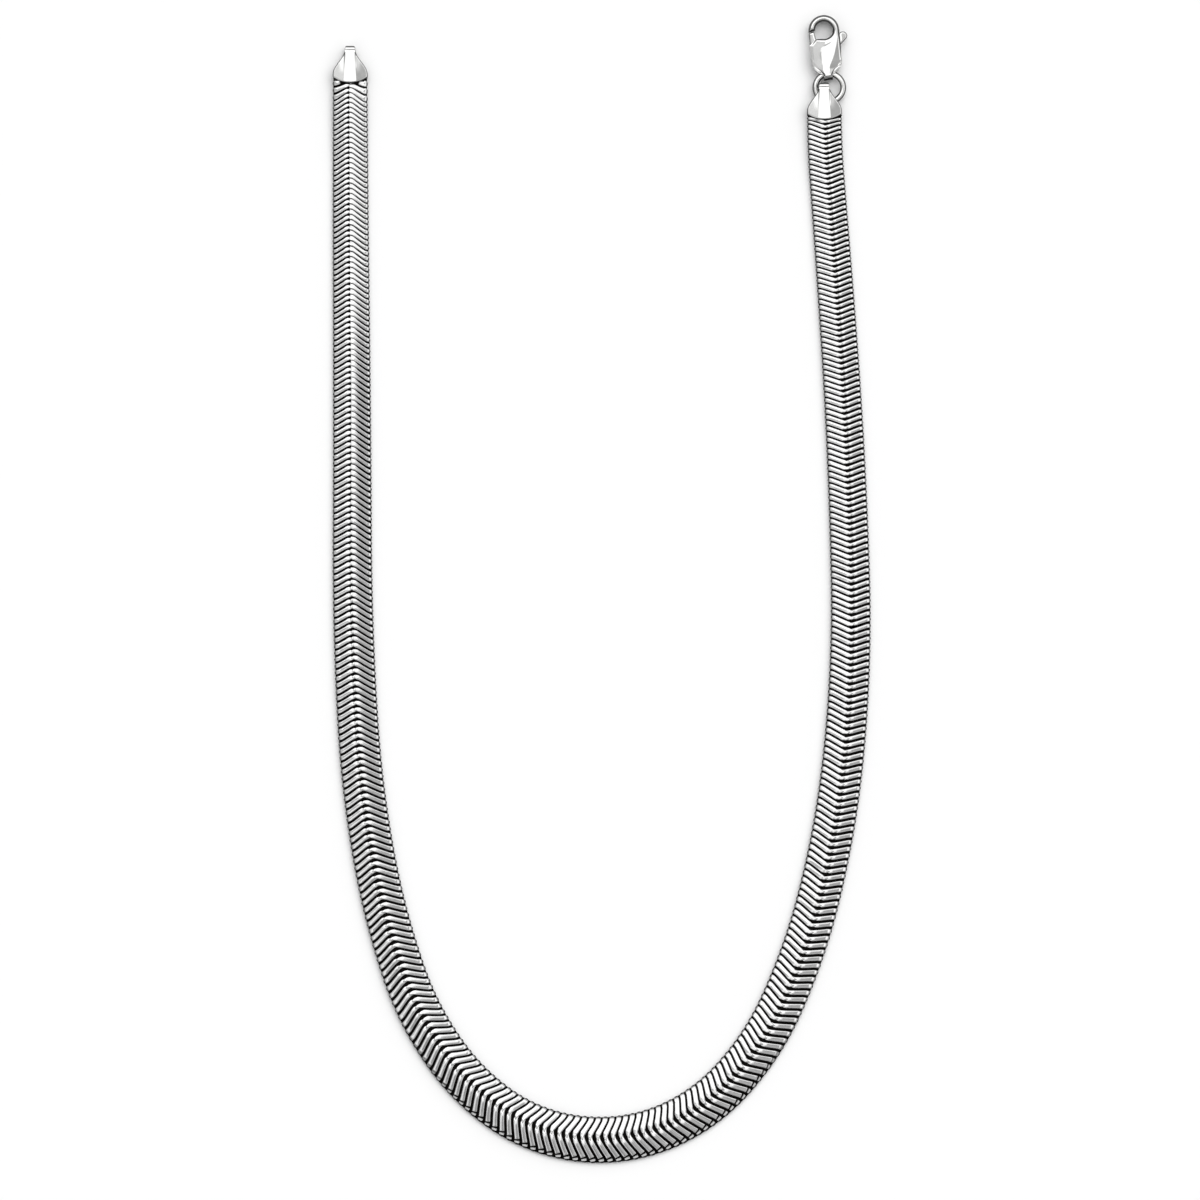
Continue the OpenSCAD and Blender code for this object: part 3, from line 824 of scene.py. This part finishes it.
def carve_clasp(points, normals):
    """Rounds the hook and shapes the body of the clasp's points, given in millimetres."""
    at, turn = frame_of("clasp")
    u, v = turned(*(points[:, :2] - at).T, -turn)
    high = points[:, 2] - HALF_T
    hook = smoothstep(HOOK_LOW, HOOK_HIGH, v)
    solid = smoothstep(SLOT_LOW, SLOT_HIGH, v)
    wall = np.abs(normals[:, 2]) < FACE_SIDE
    wall &= (np.abs(high) > WALL_LOW) & (np.abs(high) < WALL_HIGH)
    by_pin = np.hypot(u - PIVOT[0], v - PIVOT[1]) < PIN_CLEAR
    wall &= ~by_pin
    e = wall_distance(points[:, :2], points[wall, :2])
    outward = normals[:, 2] * np.sign(high)
    within = (e > WALL_CLEAR) & (outward > LEAN_LEAST) & ~by_pin
    face = (np.abs(high) > FACE_HIGH) & ((outward > FACE_UP) | within)
    level = clasp_front(u, v) * (1 - hook) + (HALF_T - HOOK_DROP) * hook
    level = level * round_edge(
        e, EDGE_ROUND + HOOK_ROUNDER * hook, EDGE_DROP + HOOK_DEEPER * hook)
    thinnest = RIM - RIM_DROP * (1 - np.clip(e / RIM_WIDE, 0, 1))
    level = np.maximum(level, thinnest * (1 - solid))
    inside = level - SKIN * (by_pin & (outward < FACE_UP))
    new = np.where(face, level, np.minimum(np.abs(high), inside))
    points[:, 2] = np.where(v < TAIL, points[:, 2], HALF_T + np.sign(high) * new)
    return points


def carve_lever(points, normals):
    """Rounds the lever's edges and slopes its gate and thumb tab, in millimetres."""
    high = points[:, 2] - HALF_T
    face = (np.abs(normals[:, 2]) > FACE_UP) & (np.abs(high) > LEVER_FACE)
    wall = np.abs(normals[:, 2]) < FACE_SIDE
    e = wall_distance(points[:, :2], points[wall, :2])
    at, turn = frame_of("clasp")
    u = turned(*(points[:, :2] - at).T, -turn)[0]
    beyond = np.maximum(GATE_FALL_AT - u, 0) + np.maximum(u - TAB_FALL_AT, 0)
    level = (LEVER_HALF - LEVER_FALL * beyond) * round_edge(e, LEVER_ROUND, LEVER_DROP)
    new = np.where(face, level, np.minimum(np.abs(high), level))
    points[:, 2] = HALF_T + np.sign(high) * new
    return points


def carve_pin(points, normals):
    """Ends the lever's pin just below the clasp's cheeks, in millimetres."""
    at, turn = frame_of("clasp")
    u, v = turned(*(points[:, :2] - at).T, -turn)
    most = clasp_front(u, v) - SKIN - PIN_SHORT
    points[:, 2] = HALF_T + np.clip(points[:, 2] - HALF_T, -most, most)
    return points


def softened(node, name, voxel, passes, carve):
    """A copy of a CAD node with its hard edges worn round, in a fine even mesh, and carved."""
    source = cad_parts[node].data.copy()
    for v in source.vertices:
        v.co *= 1 / MM
    rough = bpy.data.objects.new(name + "_rough", source)
    bpy.context.scene.collection.objects.link(rough)
    remesh = rough.modifiers.new("even", "REMESH")
    remesh.mode = "VOXEL"
    remesh.voxel_size = voxel
    smooth = rough.modifiers.new("worn", "SMOOTH")
    smooth.factor = 0.5
    smooth.iterations = 2 if carve else passes
    mesh = evaluated(rough)
    if carve:
        points = read(mesh.vertices, "co")
        normals = read(mesh.vertex_normals, "vector")
        mesh.vertices.foreach_set("co", carve(points, normals).astype(np.float32).ravel())
        rough.data = mesh
        rough.modifiers.remove(remesh)
        smooth.iterations = passes
        mesh = evaluated(rough)
    bpy.data.objects.remove(rough)
    for v in mesh.vertices:
        v.co *= MM
    mesh.name = name
    mesh.materials.clear()
    mesh.polygons.foreach_set("use_smooth", np.ones(len(mesh.polygons), bool))
    piece = bpy.data.objects.new(name, mesh)
    bpy.context.scene.collection.objects.link(piece)
    return piece


def evaluated(thing):
    """A thing's mesh with its modifiers applied."""
    graph = bpy.context.evaluated_depsgraph_get()
    return bpy.data.meshes.new_from_object(thing.evaluated_get(graph))


def read(items, key):
    """Vectors of a mesh's items as rows."""
    values = np.empty(len(items) * 3, np.float32)
    items.foreach_get(key, values)
    return values.reshape(-1, 3).astype(float)


# The table's half size and its drop below the chain, in metres
TABLE_HALF, TABLE_DROP = 1.2, 0.00002


def floor():
    """A plain pale table top under the chain."""
    size = TABLE_HALF
    mesh = bpy.data.meshes.new("table_top")
    mesh.from_pydata([(-size, -size, 0), (size, -size, 0), (size, size, 0), (-size, size, 0)],
                     [], [(0, 1, 2, 3)])
    piece = bpy.data.objects.new("table_top", mesh)
    bpy.context.scene.collection.objects.link(piece)
    piece.location.z = -TABLE_DROP
    material = bpy.data.materials.new("table_white")
    nodes, links = node_group(material)
    out = add(nodes, "ShaderNodeOutputMaterial")
    shader = add(nodes, "ShaderNodeBsdfPrincipled", inputs={
        "Base Color": TABLE, "Roughness": 0.9})
    links.new(shader.outputs[0], out.inputs[0])
    mesh.materials.append(material)


def ramp(nodes, stops):
    """A colour ramp of grey values, as (position, value)."""
    node = nodes.new("ShaderNodeValToRGB")
    elements = node.color_ramp.elements
    while len(elements) < len(stops):
        elements.new(0.5)
    for element, (at, value) in zip(elements, stops):
        element.position = at
        element.color = (value, value, value, 1)
    return node


# Brightness of the studio round the compass, from +X turning left: near the zenith, and lower down
ROUND_HIGH = [
    (0.0, 0.34), (0.03, 0.38), (0.075, 0.80), (0.125, 1.15), (0.20, 1.45), (0.375, 1.45),
    (0.44, 1.30), (0.49, 0.42), (0.56, 0.50), (0.625, 1.15), (0.75, 0.20), (0.875, 0.50),
    (1.0, 0.34),
]
ROUND_LOW = [
    (0.0, 1.15), (0.125, 1.15), (0.25, 1.10), (0.375, 1.30), (0.44, 0.95), (0.49, 0.55),
    (0.56, 0.60), (0.625, 0.90), (0.75, 0.40), (0.91, 0.55), (0.96, 1.15), (1.0, 1.15),
]
# Each band, with the angles from the zenith at which it is complete and begins
BANDS = [(ROUND_HIGH, 12, 3), (ROUND_LOW, 38, 30)]
# Brightness at the zenith, and what is left of all the light at heights from 0 to 1
ZENITH = 1.2
HORIZON = [(0.0, 0.45), (0.30, 0.40), (0.44, 0.28), (0.62, 1.0), (1.0, 1.0)]
# The lamp's direction, its spread in degrees and its power
LAMP_FROM = (0.42, 0.75, 1.00)
LAMP_SPREAD = 64
LAMP_POWER = 1.72
# The camera's lens in millimetres, and in metres the width it shows, at which height, and its middle
LENS, SENSOR = 300, 36
FIELD, FIELD_HIGH = 0.22344, 0.001
MIDDLE = (-0.00032, -0.00196)


def studio():
    """A bright tent overhead with dimmer panels to the right and front, grey at the horizon."""
    world = bpy.data.worlds.new("studio")
    bpy.context.scene.world = world
    nodes, links = node_group(world)
    out = add(nodes, "ShaderNodeOutputWorld")
    back = add(nodes, "ShaderNodeBackground", inputs={"Strength": 1.0})
    links.new(back.outputs[0], out.inputs[0])
    place = add(nodes, "ShaderNodeTexCoord")
    split = add(nodes, "ShaderNodeSeparateXYZ")
    links.new(place.outputs["Generated"], split.inputs[0])
    angle = add(nodes, "ShaderNodeMath", operation="ARCTAN2")
    links.new(split.outputs["Y"], angle.inputs[0])
    links.new(split.outputs["X"], angle.inputs[1])
    compass = add(nodes, "ShaderNodeMath", operation="MULTIPLY", inputs={1: 0.5 / math.pi})
    links.new(angle.outputs[0], compass.inputs[0])
    whole = add(nodes, "ShaderNodeMath", operation="FLOORED_MODULO", inputs={1: 1.0})
    links.new(compass.outputs[0], whole.inputs[0])
    light = None
    for stops, full, none in BANDS:
        panel = ramp(nodes, stops)
        links.new(whole.outputs[0], panel.inputs["Fac"])
        weight = add(nodes, "ShaderNodeMapRange", interpolation_type="SMOOTHSTEP", inputs={
            "From Min": math.cos(math.radians(none)), "From Max": math.cos(math.radians(full))})
        links.new(split.outputs["Z"], weight.inputs["Value"])
        mix = add(nodes, "ShaderNodeMix", data_type="FLOAT", inputs={2: ZENITH})
        links.new(weight.outputs[0], mix.inputs[0])
        if light:
            links.new(light, mix.inputs[2])
        links.new(panel.outputs["Color"], mix.inputs[3])
        light = mix.outputs[0]
    height = ramp(nodes, HORIZON)
    links.new(split.outputs["Z"], height.inputs["Fac"])
    total = add(nodes, "ShaderNodeMath", operation="MULTIPLY")
    links.new(height.outputs["Color"], total.inputs[0])
    links.new(light, total.inputs[1])
    links.new(total.outputs[0], back.inputs["Color"])


def key_light():
    """A soft far lamp at the upper right, for the shadow at the lower left."""
    lamp = bpy.data.lights.new("key", "SUN")
    lamp.angle = math.radians(LAMP_SPREAD)
    lamp.energy = LAMP_POWER
    thing = bpy.data.objects.new("key", lamp)
    thing.location = LAMP_FROM
    toward = -Vector(LAMP_FROM)
    thing.rotation_euler = toward.to_track_quat("-Z", "Y").to_euler()
    thing.visible_glossy = False
    bpy.context.scene.collection.objects.link(thing)


def camera():
    """Looks straight down on the chain through a long lens, framed as the photograph."""
    data = bpy.data.cameras.new("camera")
    data.lens = LENS
    data.sensor_width = SENSOR
    data.clip_start = 0.05
    data.clip_end = 10
    thing = bpy.data.objects.new("camera", data)
    thing.location = (*MIDDLE, FIELD * LENS / SENSOR + FIELD_HIGH)
    bpy.context.scene.collection.objects.link(thing)
    bpy.context.scene.camera = thing


def finish_piece(piece, material, slot, body, *nodes):
    """Gives a piece its material and its body, and hides the CAD nodes that it replaces. The slot
    argument is not used.
    """
    piece.data.materials.clear()
    piece.data.materials.append(material)
    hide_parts(*nodes)
    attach(piece, body)


# The chain's four stretches, by their first and last ribs
STRETCHES = [("chain_left", 0, 96), ("chain_bend_left", 96, 186),
             ("chain_bend_right", 186, 276), ("chain_right", 276, RIB_COUNT)]
# A row for each casting: its CAD node, name and body, how fine its mesh is in millimetres, how often
# it is smoothed, and what carves it
CASTINGS = [
    ("end_cap_left", "cap_left", "necklace", 0.07, 3, carve_cap_left),
    ("end_cap_right", "cap_right", "necklace", 0.07, 3, carve_cap_right),
    ("jump_ring", "ring", "necklace", 0.07, 6, None),
    ("clasp_body", "clasp", "necklace", 0.06, 3, carve_clasp),
    ("clasp_lever", "lever", "lever", 0.06, 3, carve_lever),
    ("lever_pin", "pin", "necklace", 0.05, 2, carve_pin),
]


def main():
    """Sets the stage and dresses every node."""
    camera()
    floor()
    studio()
    key_light()
    bpy.context.scene.view_settings.view_transform = "Standard"
    wire = woven_silver()
    bright = bright_silver()
    for name, first, last in STRETCHES:
        finish_piece(weave(name, first, last), wire, "woven_silver", "necklace", "chain")
    for node, name, body, voxel, passes, carve in CASTINGS:
        piece = softened(node, name, voxel, passes, carve)
        finish_piece(piece, bright, "bright_silver", body, node)


main()
